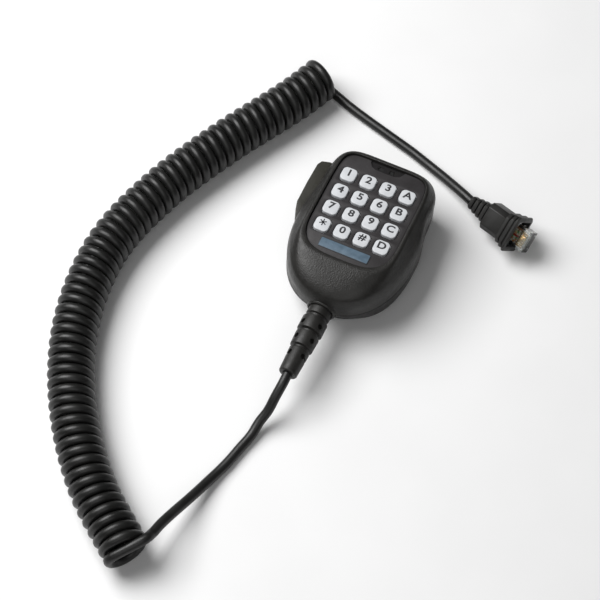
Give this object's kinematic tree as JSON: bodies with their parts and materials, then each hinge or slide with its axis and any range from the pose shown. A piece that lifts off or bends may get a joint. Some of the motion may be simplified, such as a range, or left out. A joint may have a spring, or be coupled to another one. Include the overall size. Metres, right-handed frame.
{
  "type": "hand microphone",
  "caption": "Hand-held microphone with a telephone keypad, a push-to-talk bar on its left side, a hang-up button on its back and a long curly cord with a clear modular plug.",
  "frame": {"origin": "the middle of the hang-up button's head, on the plane that the microphone rests on, straight under the middle of the keypad", "axes": "+X to the right of the keypad, +Y towards the microphone's top end, +Z out of the keypad"},
  "size_m": [0.2073, 0.3049, 0.0362],
  "materials": {
    "cover_plastic": "fine spark-eroded texture, satin rim",
    "rear_plastic": "fine spark-eroded texture",
    "panel_plastic": "smooth matte",
    "label_film": "satin film",
    "key_plastic": "smooth satin with black characters",
    "mat_rubber": "matte",
    "board_laminate": "solder mask",
    "chip_resin": "matte",
    "bright_steel": "zinc plated",
    "black_steel": "black oxide",
    "ptt_plastic": "fine spark-eroded texture",
    "plunger_plastic": "satin",
    "capsule_metal": "drawn",
    "felt": "felt",
    "cord_rubber": "satin rubber",
    "boot_rubber": "satin moulded rubber",
    "clear_plastic": "clear polycarbonate",
    "gold_contacts": "gold plated",
    "wire_insulation": "satin insulation in several colours"
  },
  "bodies": {
    "housing": {"front_cover": "cover_plastic", "rear_cover": "rear_plastic", "face_panel": "panel_plastic", "label_strip": "label_film", "keypad_mat": "mat_rubber", "circuit_board": "board_laminate", "board_chips": "chip_resin", "board_screws": "bright_steel", "ptt_pin": "bright_steel", "ptt_switch": "chip_resin", "mic_capsule": "capsule_metal", "capsule_holder": "mat_rubber", "dust_felt": "felt", "hang_button": "bright_steel", "hang_screw": "bright_steel", "case_screws": "black_steel", "cable_clamp": "bright_steel", "clamp_screws": "bright_steel", "cord_socket": "plunger_plastic", "cord_core": "cord_rubber", "strain_relief": "boot_rubber", "cord_lead_mic": "cord_rubber", "cord_coil": "cord_rubber", "cord_lead_plug": "cord_rubber", "plug_boot": "boot_rubber", "plug_body": "clear_plastic", "plug_contacts": "gold_contacts", "plug_wires": "wire_insulation"},
    "key_1_body": {"key_1": "key_plastic"},
    "key_2_body": {"key_2": "key_plastic"},
    "key_3_body": {"key_3": "key_plastic"},
    "key_a_body": {"key_a": "key_plastic"},
    "key_4_body": {"key_4": "key_plastic"},
    "key_5_body": {"key_5": "key_plastic"},
    "key_6_body": {"key_6": "key_plastic"},
    "key_b_body": {"key_b": "key_plastic"},
    "key_7_body": {"key_7": "key_plastic"},
    "key_8_body": {"key_8": "key_plastic"},
    "key_9_body": {"key_9": "key_plastic"},
    "key_c_body": {"key_c": "key_plastic"},
    "key_star_body": {"key_star": "key_plastic"},
    "key_0_body": {"key_0": "key_plastic"},
    "key_hash_body": {"key_hash": "key_plastic"},
    "key_d_body": {"key_d": "key_plastic"},
    "ptt_bar": {"ptt_button": "ptt_plastic"},
    "plunger": {"switch_plunger": "plunger_plastic"},
    "latch": {"plug_latch": "clear_plastic"}
  },
  "joints": [
    {"name": "key_1_press", "type": "slide", "parent": "housing", "child": "key_1_body", "axis": [0, 0, -1], "range_m": [0, 0.0007], "stiffness_N_per_m": 600, "springref_m": -0.0003},
    {"name": "key_2_press", "type": "slide", "parent": "housing", "child": "key_2_body", "axis": [0, 0, -1], "range_m": [0, 0.0007], "stiffness_N_per_m": 600, "springref_m": -0.0003},
    {"name": "key_3_press", "type": "slide", "parent": "housing", "child": "key_3_body", "axis": [0, 0, -1], "range_m": [0, 0.0007], "stiffness_N_per_m": 600, "springref_m": -0.0003},
    {"name": "key_a_press", "type": "slide", "parent": "housing", "child": "key_a_body", "axis": [0, 0, -1], "range_m": [0, 0.0007], "stiffness_N_per_m": 600, "springref_m": -0.0003},
    {"name": "key_4_press", "type": "slide", "parent": "housing", "child": "key_4_body", "axis": [0, 0, -1], "range_m": [0, 0.0007], "stiffness_N_per_m": 600, "springref_m": -0.0003},
    {"name": "key_5_press", "type": "slide", "parent": "housing", "child": "key_5_body", "axis": [0, 0, -1], "range_m": [0, 0.0007], "stiffness_N_per_m": 600, "springref_m": -0.0003},
    {"name": "key_6_press", "type": "slide", "parent": "housing", "child": "key_6_body", "axis": [0, 0, -1], "range_m": [0, 0.0007], "stiffness_N_per_m": 600, "springref_m": -0.0003},
    {"name": "key_b_press", "type": "slide", "parent": "housing", "child": "key_b_body", "axis": [0, 0, -1], "range_m": [0, 0.0007], "stiffness_N_per_m": 600, "springref_m": -0.0003},
    {"name": "key_7_press", "type": "slide", "parent": "housing", "child": "key_7_body", "axis": [0, 0, -1], "range_m": [0, 0.0007], "stiffness_N_per_m": 600, "springref_m": -0.0003},
    {"name": "key_8_press", "type": "slide", "parent": "housing", "child": "key_8_body", "axis": [0, 0, -1], "range_m": [0, 0.0007], "stiffness_N_per_m": 600, "springref_m": -0.0003},
    {"name": "key_9_press", "type": "slide", "parent": "housing", "child": "key_9_body", "axis": [0, 0, -1], "range_m": [0, 0.0007], "stiffness_N_per_m": 600, "springref_m": -0.0003},
    {"name": "key_c_press", "type": "slide", "parent": "housing", "child": "key_c_body", "axis": [0, 0, -1], "range_m": [0, 0.0007], "stiffness_N_per_m": 600, "springref_m": -0.0003},
    {"name": "key_star_press", "type": "slide", "parent": "housing", "child": "key_star_body", "axis": [0, 0, -1], "range_m": [0, 0.0007], "stiffness_N_per_m": 600, "springref_m": -0.0003},
    {"name": "key_0_press", "type": "slide", "parent": "housing", "child": "key_0_body", "axis": [0, 0, -1], "range_m": [0, 0.0007], "stiffness_N_per_m": 600, "springref_m": -0.0003},
    {"name": "key_hash_press", "type": "slide", "parent": "housing", "child": "key_hash_body", "axis": [0, 0, -1], "range_m": [0, 0.0007], "stiffness_N_per_m": 600, "springref_m": -0.0003},
    {"name": "key_d_press", "type": "slide", "parent": "housing", "child": "key_d_body", "axis": [0, 0, -1], "range_m": [0, 0.0007], "stiffness_N_per_m": 600, "springref_m": -0.0003},
    {"name": "ptt_press", "type": "hinge", "parent": "housing", "child": "ptt_bar", "pos_m": [-0.0282, -0.0132, 0.0183], "axis": [0, 0, -1], "range_deg": [0, 3], "stiffness_Nm_per_rad": 1.2, "springref_deg": -1.15},
    {"name": "plunger_slide", "type": "slide", "parent": "housing", "child": "plunger", "axis": [1, 0, 0], "range_m": [0, 0.0014]},
    {"name": "latch_press", "type": "hinge", "parent": "housing", "child": "latch", "pos_m": [0.07819, 0.03356, 0.00985], "axis": [0.1821, 0.7239, 0.6655], "range_deg": [0, 8], "stiffness_Nm_per_rad": 0.05, "springref_deg": -1.15}
  ],
  "couplings": [
    {"joint": "plunger_slide", "follows": "ptt_press", "m_per_rad": 0.0252}
  ]
}
